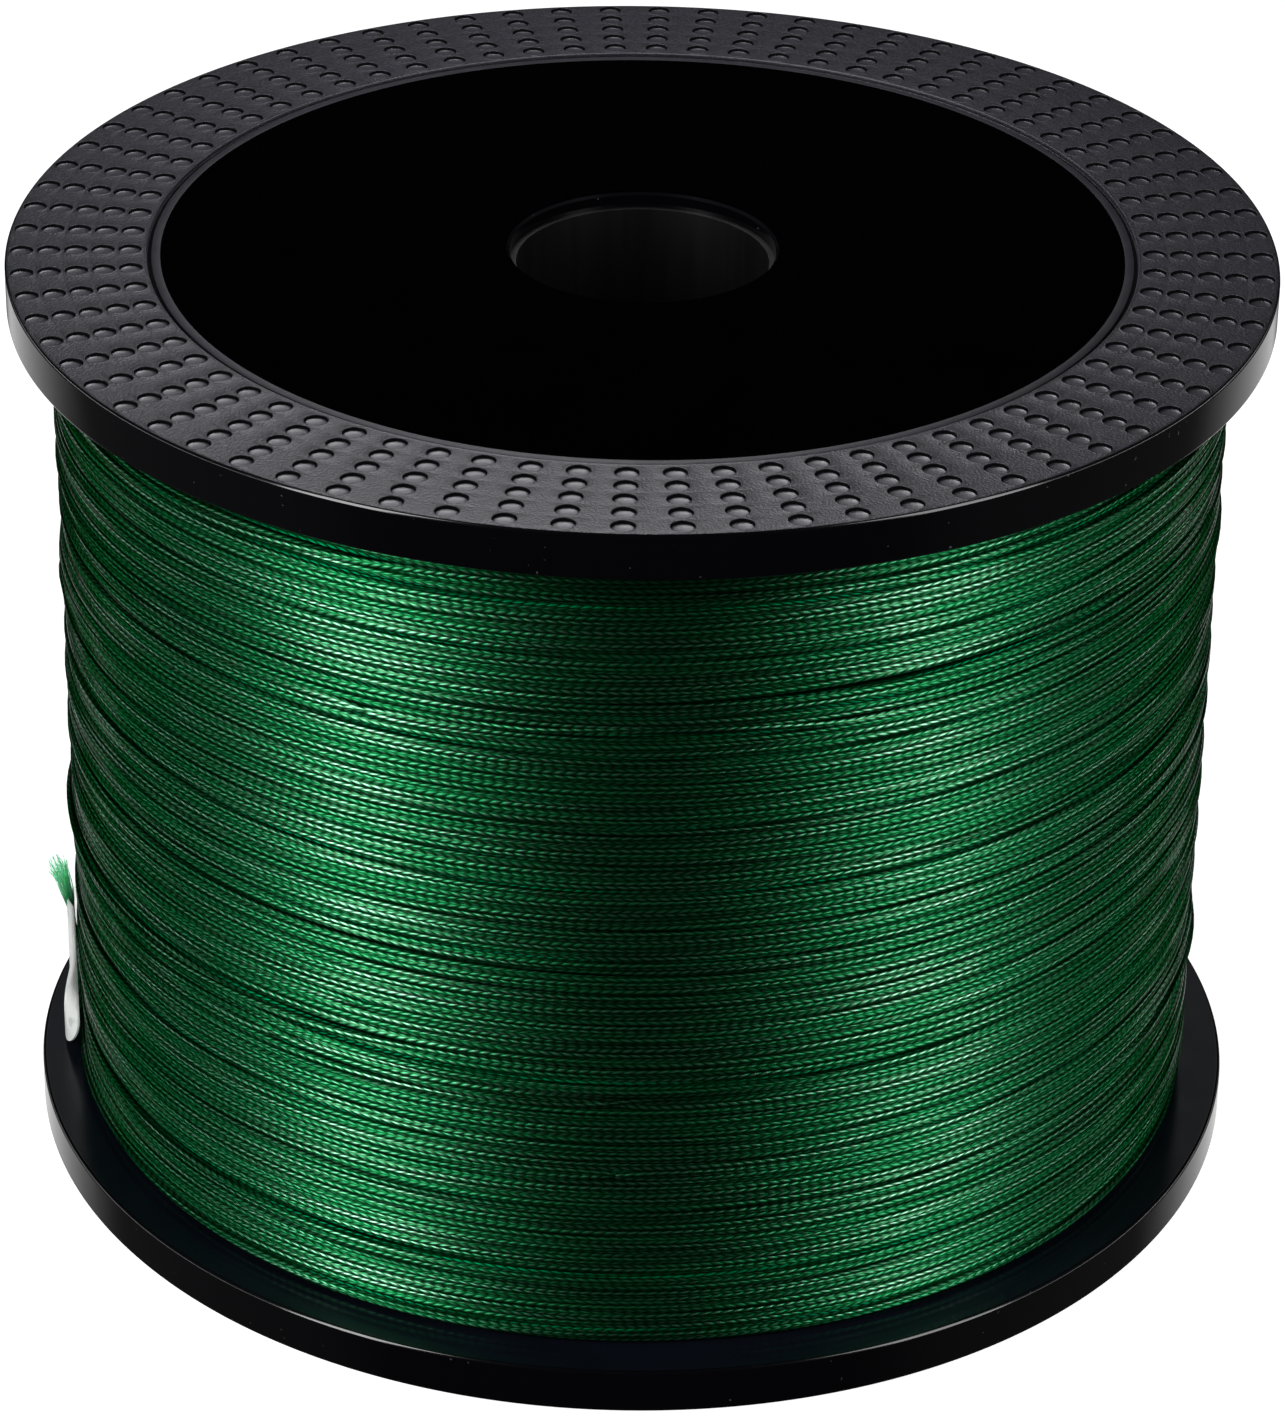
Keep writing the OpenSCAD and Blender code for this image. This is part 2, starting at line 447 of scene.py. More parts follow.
def gloss_plastic(graph):
    """Polished black plastic with hairline scratches and a few specks of dust."""
    ripple = graph.noise(0.22, 1.5)
    hair = graph.noise(0.5, 4.0, 0.7, stretch=(1, 1, 14)).ramp(0.62, 0.72)
    speck = graph.noise(2.9, 0.0).ramp(0.84, 0.88)
    return {
        "Base Color": graph.mix(speck * 0.3, rgb(0.0012, 0.0012, 0.0018), rgb(0.12, 0.12, 0.12)),
        "Roughness": 0.13 + 0.10 * hair + 0.3 * speck,
        "Normal": graph.bump(ripple + 0.04 * hair + 0.2 * speck, 0.02, 0.6),
    }


def shaded_plastic(graph):
    """The flange's inner face beside the line: the same plastic with less reflection and a faintly
    bluer tone, as painted shade.
    """
    ripple = graph.noise(0.22, 1.5)
    return {
        "Base Color": graph.mix(ripple, rgb(0.002, 0.003, 0.005), rgb(0.004, 0.005, 0.009)),
        "Roughness": 0.16 + 0.08 * ripple,
        "Specular IOR Level": 0.22,
        "Specular Tint": rgb(0.85, 0.9, 1.0),
        "Normal": graph.bump(ripple, 0.02, 0.6),
    }


def core_plastic(graph):
    """Satin black plastic of the barrel and the arbor tube, drawn along its length."""
    drawn = graph.noise(0.8, 3.0, stretch=(1, 1, 0.06))
    return {
        "Base Color": graph.mix(drawn, rgb(0.001, 0.001, 0.0012), rgb(0.003, 0.003, 0.0035)),
        "Roughness": 0.42 + 0.2 * drawn,
        "Specular IOR Level": 0.2,
        "Normal": graph.bump(drawn, 0.02, 0.5),
    }


def label_paper(graph):
    """Matt black label: flat ink over a fine paper tooth."""
    tooth = graph.noise(5.0, 3.0, 0.65)
    cloud = graph.noise(0.12, 2.0)
    return {
        "Base Color": graph.mix(cloud, rgb(0.0002, 0.0002, 0.0003), rgb(0.0005, 0.0005, 0.0006)),
        "Roughness": 0.82 + 0.12 * tooth,
        "Specular IOR Level": 0.0,
        "Normal": graph.bump(tooth, 0.012, 0.6),
    }


def label_varnish(graph):
    """Satin varnish on the label's border, with faint smears."""
    smear = graph.noise(0.5, 3.0)
    return {
        "Base Color": graph.mix(smear, rgb(0.003, 0.003, 0.005), rgb(0.010, 0.010, 0.014)),
        "Roughness": 0.55 + 0.1 * smear,
        "Specular IOR Level": 0.4,
        "Specular Tint": COOL,
        "Normal": graph.bump(smear, 0.03, 0.6),
    }


def crepe_paper(graph):
    """Cream crepe tape that holds the first turn on the barrel."""
    crepe = graph.noise(1.6, 3.0, 0.6, stretch=(1, 1, 0.2))
    return {
        "Base Color": graph.mix(crepe, rgb(0.50, 0.44, 0.27), rgb(0.68, 0.61, 0.41)),
        "Roughness": 0.85,
        "Normal": graph.bump(crepe, 0.05, 0.8),
    }


def braid_height(graph):
    """Relief of a braid from 0 to 1: columns of slanted ovals round the line, each
    leaning the other way, so that two of them make a chevron."""
    u, v = graph.uv()
    column = v * BRAID_COLUMNS + u * 0.045
    lean = column.pingpong(1.0)
    across = (column.fract() * math.pi).sin()
    along = ((u + lean * 0.92).fract() * math.pi).sin()
    return (across ** 1.1) * (along ** 0.9)


def line_colour(graph, relief, gloss_and_highlight, dark, mid, light):
    """Painted shade in the grooves, green strands, and a painted highlight on the crests where the
    noise says so.
    """
    # The pale crest colour is a painted highlight; the dark colour in the grooves is painted shade
    highlight_mask = relief.ramp(0.45, 0.95) * (0.35 + 0.65 * gloss_and_highlight)
    return graph.mix(relief.ramp(0.05, 0.6), dark, graph.mix(highlight_mask, mid, light))


def braided_line(graph):
    """Green braid: chevrons of glossy strands, with painted shade in the grooves and a painted
    highlight on the crests, stronger on glossier turns. The highlight spreads across the line and
    stays short along it."""
    relief = braid_height(graph)
    cloud = graph.noise(0.30, 2.0)
    turn = graph.noise(0.5, 1.0, stretch=(0.12, 0.12, 3.5))
    # Turns where this is high are glossier and carry a stronger painted highlight on their crests
    gloss_and_highlight = (0.75 * turn + 0.25 * cloud).ramp(0.42, 0.6)
    return {
        "Base Color": line_colour(graph, relief, gloss_and_highlight, rgb(0.003, 0.050, 0.013),
                                  rgb(0.004, 0.190, 0.056), rgb(0.15, 0.40, 0.25)),
        "Metallic": 1.0,
        "Roughness": 0.44 - 0.06 * gloss_and_highlight,
        "Anisotropic": 0.7,
        "Anisotropic Rotation": 0.25,
        "Specular Tint": rgb(0.06, 0.24, 0.12),
        "Coat Weight": (0.02 + 0.95 * gloss_and_highlight * gloss_and_highlight) * (0.3 + 0.7 * relief),
        "Coat Roughness": 0.15,
        "Normal": graph.bump(relief, 0.034, 1.0),
    }


def under_line(graph):
    """The same braid in darker colours, as painted shade under the outer layer, with painted shade
    in its grooves and a painted highlight on its crests.
    """
    relief = braid_height(graph)
    cloud = graph.noise(0.3, 2.0)
    return {
        "Base Color": line_colour(graph, relief, cloud, rgb(0.0, 0.016, 0.004),
                                  rgb(0.0, 0.130, 0.038), rgb(0.0, 0.220, 0.080)),
        "Metallic": 1.0,
        "Roughness": 0.45 + 0.15 * cloud,
        "Specular Tint": rgb(0.1, 0.5, 0.2),
        "Normal": graph.bump(relief, 0.05, 1.0),
    }


def wound_bulk(graph):
    """Line seen only between turns: coloured nearly black green as painted shade, ribbed along the
    drum.
    """
    _, _, z = graph.split(graph.place())
    pitch = 0.54
    rib = (z * (TURN / (pitch * MM))).sin() * 0.5 + 0.5
    cloud = graph.noise(0.4, 2.0)
    return {
        # The near-black colour is painted shade, darker still between the ribs
        "Base Color": graph.mix(rib * cloud, rgb(0.0, 0.004, 0.001), rgb(0.0, 0.030, 0.010)),
        "Metallic": 1.0,
        "Roughness": 0.55 + 0.2 * cloud,
        "Specular Tint": rgb(0.1, 0.5, 0.2),
        "Normal": graph.bump(rib, 0.1, 1.0),
    }


def frayed_fibre(graph):
    """Loose fibres: deep green at the root, pale mint and thin at the tips."""
    u, _ = graph.uv()
    cloud = graph.noise(2.0, 2.0)
    tone = graph.mix(u.ramp(0.1, 0.85), rgb(0.0, 0.36, 0.11), rgb(0.36, 0.95, 0.62))
    return {
        "Base Color": graph.mix(cloud * 0.35, tone, rgb(0.5, 0.97, 0.72)),
        "Roughness": 0.45 + 0.2 * cloud,
        "Transmission Weight": 0.6,
        "IOR": 1.25,
        "Alpha": 1.0 - 0.4 * u,
        "Normal": graph.bump(cloud, 0.02, 0.5),
    }


def clear_tape(graph):
    """Clear tape: milky where it is peeled or lies on the loose line, nearly invisible
    where it sticks, with a little haze and pressed-out air."""
    haze = graph.noise(0.45, 2.0)
    pocket = graph.noise(0.35, 1.0).ramp(0.62, 0.7)
    _, y, z = graph.split(graph.place())
    over_line = 1 - ((y / MM + BEND_R) ** 2).ramp(0.2, 4.5)
    loose = (1 - (z / MM + haze).ramp(8.6, 11.6)).highest(0.75 * over_line)
    return {
        "Base Color": graph.mix(haze, rgb(0.93, 0.98, 0.94), rgb(0.99, 1.0, 0.99)),
        "Roughness": 0.15 + 0.2 * haze,
        "Alpha": 0.12 + (0.66 + 0.15 * haze - 0.35 * pocket) * loose,
        "Normal": graph.bump(haze, 0.05, 0.6),
    }


# ---- Meshes ----

def piece(name, points, faces, finishes, nodes, uv=None, kinds=None, crease=45):
    """One mesh object from points in millimetres and arrays of faces, riding on the
    root. Kinds say which finish each face has; edges past crease degrees stay sharp."""
    mesh = bpy.data.meshes.new(name)
    corners = np.concatenate([block.ravel() for block in faces])
    sizes = np.concatenate([np.full(len(block), block.shape[1]) for block in faces])
    mesh.vertices.add(len(points))
    mesh.vertices.foreach_set("co", (np.asarray(points) * MM).ravel())
    mesh.loops.add(len(corners))
    mesh.loops.foreach_set("vertex_index", corners.astype(np.int32))
    mesh.polygons.add(len(sizes))
    mesh.polygons.foreach_set("loop_start", (np.cumsum(sizes) - sizes).astype(np.int32))
    mesh.polygons.foreach_set("use_smooth", np.ones(len(sizes), bool))
    if kinds is not None:
        mesh.polygons.foreach_set("material_index", np.asarray(kinds, np.int32))
    if uv is not None:
        mesh.uv_layers.new(name="braid").data.foreach_set("uv", uv.ravel())
    for material in finishes:
        mesh.materials.append(material)
    mesh.update(calc_edges=True)
    mesh.validate()
    mesh.set_sharp_from_angle(angle=math.radians(crease))
    made = bpy.data.objects.new(name, mesh)
    bpy.context.scene.collection.objects.link(made)
    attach(made, "root")
    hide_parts(*nodes)
    return made


def grid(rows, columns, wrap=False):
    """Quads between neighbouring rows of points; with wrap each row closes on itself."""
    i, j = np.meshgrid(np.arange(rows - 1), np.arange(columns - (not wrap)), indexing="ij")
    here = i * columns + j
    there = i * columns + (j + 1) % columns
    return np.stack([here, there, there + columns, here + columns], -1).reshape(-1, 4)


def lathe(profile, angles):
    """A profile of (radius, height) carried round the axis through the given angles."""
    r, h = np.array(profile).T
    turn = np.array([np.cos(angles), np.sin(angles)])
    x, y = r[:, None] * turn[:, None, :]
    return np.stack([x, y, np.broadcast_to(h[:, None], x.shape)], -1).reshape(-1, 3)


def corner(x, y, r, start, end, steps):
    """Points of a rounded corner about (x, y), from one angle to another in degrees."""
    a = np.radians(np.linspace(start, end, steps + 1))
    return list(zip(x + r * np.cos(a), y + r * np.sin(a)))


def wander(count, reach, seed):
    """Unit noise along a line: white noise blurred by a Gaussian of reach samples."""
    rough = np.random.default_rng(seed).standard_normal(count)
    blur = np.exp(-2 * (math.pi * reach * np.fft.rfftfreq(count)) ** 2)
    smooth = np.fft.irfft(np.fft.rfft(rough) * blur, count)
    return (smooth - smooth.mean()) / smooth.std()


def ease(x):
    """0 to 1 with flat ends, for x from 0 to 1: x squared times (3 - 2x)."""
    x = np.clip(x, 0, 1)
    return x * x * (3 - 2 * x)


# ---- Flanges ----

def dimple_cells():
    """Five dimple cells for each radial row. A cell's border is a sector of the band.
    It shrinks to a circle of share * DIMPLE_R about the dimple's centre, climbs a low
    lip, drops down the wall and closes on a slightly dished floor."""
    rings = np.arange(PER_ROW)
    between = FIRST_RING + (rings[:-1] + 0.5) * RING_STEP
    borders = np.concatenate([[BAND_R0], between, [BAND_R1]])
    part = np.arange(SIDE) / SIDE
    outer = borders[rings + 1][:, None]
    inner = borders[rings][:, None]
    fall = outer + (inner - outer) * part
    climb = inner + (outer - inner) * part
    flat = np.ones((PER_ROW, SIDE))
    border_r = np.concatenate([fall, inner * flat, climb, outer * flat], 1)
    side = np.concatenate([np.ones(SIDE), 1 - 2 * part, -np.ones(SIDE), 2 * part - 1]) / 2
    row = np.arange(ROWS)[:, None, None] * ROW_STEP
    border_a = row + side * ROW_STEP
    border = np.stack([border_r * np.cos(border_a), border_r * np.sin(border_a),
                       np.full((ROWS, PER_ROW, AROUND), FACE)], -1)
    around = TURN / 8 + TURN * np.arange(AROUND) / AROUND
    centre = (FIRST_RING + rings * RING_STEP)[:, None]
    levels = [border]
    for share, depth in DIMPLE_LEVELS:
        out = centre + share * DIMPLE_R * np.cos(around)
        aside = share * DIMPLE_R * np.sin(around)
        x = out * np.cos(row) - aside * np.sin(row)
        y = out * np.sin(row) + aside * np.cos(row)
        levels.append(np.stack([x, y, np.full_like(x, depth)], -1))
    points = np.stack(levels, 2).reshape(-1, 3)
    middle = np.stack([centre * np.cos(row), centre * np.sin(row),
                       np.full((ROWS, PER_ROW, 1), DIMPLE_DEPTH)], -1).reshape(-1, 3)
    cells = ROWS * PER_ROW
    each = len(levels) * AROUND
    wall = grid(len(levels), AROUND, wrap=True)[:, ::-1]
    start = (np.arange(cells) * each)[:, None, None]
    quads = (start + wall).reshape(-1, 4)
    last = each - AROUND + np.arange(AROUND)
    fan = np.stack([last, np.roll(last, -1)], 1) + start
    hub = np.broadcast_to((cells * each + np.arange(cells))[:, None, None], (cells, AROUND, 1))
    tris = np.concatenate([fan[:, :, ::-1], hub], 2).reshape(-1, 3)
    kinds = np.concatenate([np.tile(np.repeat(CELL_FINISH, AROUND), cells),
                            np.full(len(tris), SATIN)])
    return np.concatenate([points, middle]), quads, tris, kinds


def flange_profile():
    """Outline of a flange from the dimpled band's outer edge over the rim, down the
    inner face with its spigot, collar and socket, and back out under the label."""
    r = EDGE_R
    c = CHAMFER
    s_in, s_out, s_end = SPIGOT
    c_in, c_out, c_end = COLLAR
    inside = [(s_out, RIM_T), (s_out, s_end - c), (s_out - c, s_end),
              (s_in + c, s_end), (s_in, s_end - c), (s_in, RIM_T),
              (c_out, RIM_T), (c_out, c_end - c), (c_out - c, c_end),
              (c_in + c, c_end), (c_in, c_end - c), (c_in, SOCKET_Z),
              (HUB_R, SOCKET_Z), (HUB_R, SEAT_DEPTH + c), (HUB_R + c, SEAT_DEPTH)]
    seat = [(SEAT_R - 0.05, SEAT_DEPTH), (SEAT_R, SEAT_DEPTH - 0.05), (SEAT_R, 0.10),
            (SEAT_R + 0.03, 0.03), (SEAT_R + 0.08, 0.0), (SEAT_R + 0.13, 0.004), (BAND_R0, FACE)]
    rim = (corner(FLANGE_R - r, FACE + r, r, -90, 0, 6)
           + corner(FLANGE_R - r, RIM_T - r, r, 0, 90, 6))
    return rim, inside, seat


def flange(name, node, upper):
    """A flange: dimple cells welded to a turned profile. Heights run inwards from the
    outer face, so the upper one is the lower one turned over."""
    cells, quads, tris, cell_kinds = dimple_cells()
    rim, inside, seat = flange_profile()
    angles = ROW_STEP / 2 + np.arange(ROWS * SIDE) * ROW_STEP / SIDE
    profile = rim + inside + seat
    turned = lathe(profile, angles)
    rings = grid(len(profile), len(angles), wrap=True)
    points = np.concatenate([cells, turned])
    _, first, match = np.unique(np.round(points, 4), axis=0, return_index=True,
                                return_inverse=True)
    match = match.ravel()
    points = points[first]
    blocks = [match[quads], match[tris], match[rings + len(cells)]]
    band = np.arange(len(profile) - 1)
    glossy = (band >= GRAINED_EDGE) & (band < len(rim) + len(inside))
    ring_kinds = np.where(glossy, GLOSS, GRAIN)
    # The flat inner face beside the line takes the less reflective copy, as painted shade
    ring_kinds[len(rim) - 1] = SHADE
    kinds = np.concatenate([cell_kinds, np.repeat(ring_kinds, len(angles))])
    x, y, h = points.T
    if upper:
        y, h = -y, HEIGHT - h
        c, s = math.cos(UPPER_TURN), math.sin(UPPER_TURN)
        x, y = c * x - s * y, s * x + c * y
    made = piece(name, np.stack([x, y, h], -1), blocks, [GRAINED, POLISHED, SHADE_WALL, BOTTOM, SHADED],
                 [node], kinds=kinds, crease=22)
    weighted = made.modifiers.new("weighted", "WEIGHTED_NORMAL")
    weighted.keep_sharp = True


def label(name, node, upper):
    """A thin disc with a hole and slightly rounded edges, glued in the flange's seat. A
    satin border runs round its edge."""
    low, high = (SEAT_DEPTH - LABEL_T, SEAT_DEPTH)
    soft = LABEL_EDGE_R
    profile = [(LABEL_HOLE_R, high), (LABEL_HOLE_R, low + soft), (LABEL_HOLE_R + soft, low),
               (BORDER_R, low), (LABEL_R - soft, low), (LABEL_R, low + soft), (LABEL_R, high)]
    bands = [PAPER, PAPER, PAPER, BORDER, BORDER, BORDER, PAPER]
    angles = np.linspace(0, TURN, 192, endpoint=False)
    points = lathe(profile, angles)
    faces = grid(len(profile) + 1, len(angles), wrap=True) % len(points)
    if upper:
        points = points * [1, -1, -1] + [0, 0, HEIGHT]
    piece(name, points, [faces], [LABEL, VARNISH], [node],
          kinds=np.repeat(bands, len(angles)), crease=60)


# ---- Winding ----

def swell(angle, z):
    """Waves of the winding's surface: sines along the drum whose crests drift as they
    go round it."""
    rng = np.random.default_rng(11)
    total = np.zeros(np.broadcast(angle, z).shape)
    for length, height in WAVES:
        phase, drift, second = rng.uniform(0, TURN, 3)
        bend = 1.4 * np.sin(angle + drift) + 0.9 * np.sin(2 * angle + second)
        total += height * np.sin(TURN * z / length + phase + bend)
    return total


def shoulder(z):
    """How far the turns next to a flange sink in: a quarter circle at each end."""
    near = np.clip(SHOULDER - np.minimum(z - LOW, HIGH - z), 0, SHOULDER * 0.96)
    return SHOULDER_SINK * (SHOULDER - np.sqrt(SHOULDER ** 2 - near ** 2))


def bed(column, z):
    """Height field that the line's centre rides on: the highest ellipse over any turn
    of the layer below, on a fine grid of heights by the columns round the drum."""
    rows = int((HIGH - LOW) / BED_STEP) + 2
    field = np.full((rows, PER_TURN), BED_LOWEST)
    reach = int(LINE_D / BED_STEP)
    for k in range(-reach, reach + 1):
        share = math.sqrt(max(0.0, 1 - (k * BED_STEP / BED_REACH) ** 2))
        row = np.clip(((z - LOW) / BED_STEP).astype(int) + k, 0, rows - 1)
        np.maximum.at(field, (row, column), BED_HEIGHT * share - BED_HEIGHT)
    return field


def settle(z, lift, wide, tall, field):
    """Turns sink onto the layer below, and each pair that overlaps moves apart: every
    turn against the next two, measured as ellipses; then the line's stiffness smooths
    it along its length."""
    column = np.arange(len(z)) % PER_TURN
    for _ in range(ROUNDS):
        lift = lift - SINK
        for apart in (1, 2):
            gap = apart * PER_TURN
            w = wide[:-gap] + wide[gap:]
            t = tall[:-gap] + tall[gap:]
            dz = (z[:-gap] - z[gap:]) / w
            dl = (lift[:-gap] - lift[gap:]) / t
            far = np.maximum(np.hypot(dz, dl), 0.05)
            push = 0.5 * np.maximum(1 - far, 0) / far
            z[:-gap] += push * dz * w
            z[gap:] -= push * dz * w
            lift[:-gap] += push * dl * t
            lift[gap:] -= push * dl * t
        z = np.clip(z, LOW + wide, HIGH - wide)
        row = np.clip(((z - LOW) / BED_STEP).astype(int), 0, len(field) - 1)
        lift = np.maximum(lift, field[row, column])
        z[1:-1] = 0.5 * z[1:-1] + 0.25 * (z[:-2] + z[2:])
        lift[1:-1] = 0.5 * lift[1:-1] + 0.25 * (lift[:-2] + lift[2:])
    return z, lift


def riders(z, lift):
    """A few stretches leave their place, rise and cross over their neighbours."""
    rng = np.random.default_rng(23)
    for _ in range(RIDERS):
        start = rng.integers(2 * PER_TURN, len(z) - 3 * PER_TURN)
        length = rng.integers(14, 46)
        shift = rng.choice([-1, 1]) * rng.uniform(0.5, 1.1)
        x = np.linspace(0, 1, length)
        z[start:start + length] += shift * ease(2 * np.minimum(x, 1 - x))
        lift[start:start + length] += RIDER_RISE * ease(6 * np.minimum(x, 1 - x))
    return z, lift


def tube(centres, wide, tall, sides, fullness=1.0):
    """Rings of an ellipse carried along a path on the drum: centre + tall cos(a) out
    + wide sin(a) across, with a cap at each end. A fullness below 1 raises |cos| and
    |sin| to that power, for a section that is squarer. Returns points and faces."""
    along = unit(np.gradient(centres, axis=0))
    out = unit(centres * [1, 1, 0])
    across = unit(np.cross(along, out))
    out = np.cross(across, along)
    a = np.linspace(0, TURN, sides, endpoint=False)
    high = np.sign(np.cos(a)) * np.abs(np.cos(a)) ** fullness
    broad = np.sign(np.sin(a)) * np.abs(np.sin(a)) ** fullness
    ring = (tall[:, None, None] * high[:, None] * out[:, None]
            + wide[:, None, None] * broad[:, None] * across[:, None])
    points = (centres[:, None] + ring).reshape(-1, 3)
    last = (len(centres) - 1) * sides + np.arange(sides)
    caps = np.stack([np.arange(sides)[::-1], last])
    return points, [grid(len(centres), sides, wrap=True), caps]


def tube_uv(length, sides):
    """Length along the line in braid periods, and the share of the way round it."""
    i, j = np.meshgrid(np.arange(len(length) - 1), np.arange(sides), indexing="ij")
    u = length / BRAID
    wall = np.stack([np.stack([u[i], j / sides], -1), np.stack([u[i], (j + 1) / sides], -1),
                     np.stack([u[i + 1], (j + 1) / sides], -1),
                     np.stack([u[i + 1], j / sides], -1)], 2)
    share = np.arange(sides) / sides
    ends = [np.stack([np.full(sides, u[0]), share[::-1]], -1),
            np.stack([np.full(sides, u[-1]), share], -1)]
    return np.concatenate([wall.reshape(-1, 2), *ends])


def run_length(centres):
    """Distance run along a path at each of its points."""
    steps = np.linalg.norm(np.diff(centres, axis=0), axis=1)
    return np.concatenate([[0], np.cumsum(steps)])


def on_drum(radius, angle, z):
    """Points at a radius and an angle round the axis, and a height."""
    return np.stack([radius * np.cos(angle), radius * np.sin(angle), z], -1)


def layer_samples():
    """Number of each sample of a layer, and its angle round the drum."""
    n = np.arange(TURNS * PER_TURN + 1)
    return n, TAIL_ANGLE + TURN * n / PER_TURN


def under_layer():
    """The layer below climbs evenly, with a small wander, where the outer one descends.
    Returns its centreline's angles and heights."""
    n, angle = layer_samples()
    z = LOW + BELOW_GAP + (HIGH - LOW - 2 * BELOW_GAP) * n / n[-1]
    z += BELOW_WANDER * wander(len(n), 20, 4)
    return angle, np.clip(z, LOW + BELOW_MARGIN, HIGH - BELOW_MARGIN)


def outer_layer(below_z):
    """The outer layer descends evenly, with a small wander, from the top to the loose
    end in TURNS turns, and settles on the layer below. Most of its crests lie near
    WOUND_R, and its head dives between them. Returns its centreline and the half width
    and half height of its section."""
    n, angle = layer_samples()
    count = len(n)
    wide = HALF_WIDE * (1 + WIDTH_WANDER * np.clip(wander(count, 26, 3), -2.2, 2.2))
    tall = HALF_PRODUCT / wide
    z = HIGH - OUTER_GAP - (HIGH - LOW - 2 * OUTER_GAP) * n / n[-1]
    for height, reach, seed in OUTER_WANDERS:
        z += height * wander(count, reach, seed)
    z[-FOOT_SAMPLES:] = LOW + FOOT_GAP
    lift = np.full(count, FIRST_LIFT)
    z, lift = settle(z, lift, wide, tall, bed(n % PER_TURN, below_z))
    lift -= np.percentile(lift + tall, 55) - np.mean(tall)
    z, lift = riders(z, lift)
    lift -= HEAD_DIVE * (1 - ease(n / HEAD_SAMPLES))
    radius = WOUND_R - OUTER_DEPTH + lift + swell(angle, z) - shoulder(z)
    return on_drum(radius, angle, z), wide, tall


def wind_line():
    """The outer layer in three closed bands, and the layer below it, which has a
    sample for every second one of the outer layer's. Returns the line's last point."""
    angle, z = under_layer()
    centres, wide, tall = outer_layer(z)
    length = run_length(centres)
    cuts = np.linspace(0, len(centres) - 1, 4).astype(int)
    for k, (start, end) in enumerate(zip(cuts[:-1], cuts[1:])):
        part = slice(start, end + 1)
        points, faces = tube(centres[part], wide[part], tall[part], OUTER_SIDES, FULLNESS)
        piece(f"line_turns_{k + 1}", points, faces, [BRAID_GREEN],
              ["line_outer_layer"], uv=tube_uv(length[part], OUTER_SIDES))
    radius = WOUND_R - BELOW_DEPTH + swell(angle, z) - shoulder(z)
    below = on_drum(radius, angle, z)[::2]
    half = np.full(len(below), BELOW_HALF)
    points, faces = tube(below, half, half * BELOW_FLATTEN, BELOW_SIDES)
    piece("line_layer_below", points, faces, [UNDER_GREEN], ["line_core"],
          uv=tube_uv(run_length(below), BELOW_SIDES))
    return centres[-1]


def wound_body():
    """Everything under the two drawn layers: a ring from the barrel out, whose face
    follows the same waves and shoulders."""
    angles = np.linspace(0, TURN, 180, endpoint=False)
    z = np.linspace(LOW, HIGH, 160)
    a, h = np.meshgrid(angles, z)
    face = WOUND_R - BULK_DEPTH + swell(a, h) - shoulder(h)
    inner = np.full((1, len(angles)), BARREL_R)
    radius = np.concatenate([inner, face, inner])
    heights = np.concatenate([h[:1], h, h[-1:]])
    points = on_drum(radius, np.broadcast_to(angles, radius.shape), heights).reshape(-1, 3)
    walls = grid(len(radius) + 1, len(angles), wrap=True) % len(points)
    piece("line_bulk", points, [walls], [BULK_GREEN], ["line_core"])


# ---- Loose end ----

def tail_path(last):
    """The loose end leaves the last turn, bends up on BEND_R, runs up the drum and
    leans out at its top."""
    start = math.atan2(last[1], last[0]) % TURN
    radius = math.hypot(last[0], last[1])
    bend = np.linspace(0, TURN / 4, BEND_STEPS + 1)
    run = np.linspace(0, 1, RUN_STEPS + 1)[1:]
    side = np.concatenate([BEND_R * np.sin(bend), np.full(RUN_STEPS, BEND_R)])
    low = last[2] + BEND_R
    z = np.concatenate([last[2] + BEND_R * (1 - np.cos(bend)), low + (TAIL_TOP - low) * run])
    share = ease(np.arange(len(z)) / 9)
    out = radius + (TAIL_R - radius) * share + TAIL_LEAN * ease((z - LEAN_Z0) / LEAN_RUN)
    angle = start + side / WOUND_R + 0.004 * np.sin(np.linspace(0, 5, len(z))) * share
    return on_drum(out, angle, z)


def loose_end(last):
    """The braided tail as one closed tube, a little fuller at its frayed top. Returns
    its top."""
    centres = tail_path(last)
    count = len(centres)
    half = TAIL_HALF * (1 + 0.25 * ease((np.arange(count) - count + 8) / 8))
    points, faces = tube(centres, half, half, TAIL_SIDES)
    piece("line_tail_braid", points, faces, [BRAID_GREEN], ["line_tail"],
          uv=tube_uv(run_length(centres), TAIL_SIDES))
    return centres[-1]


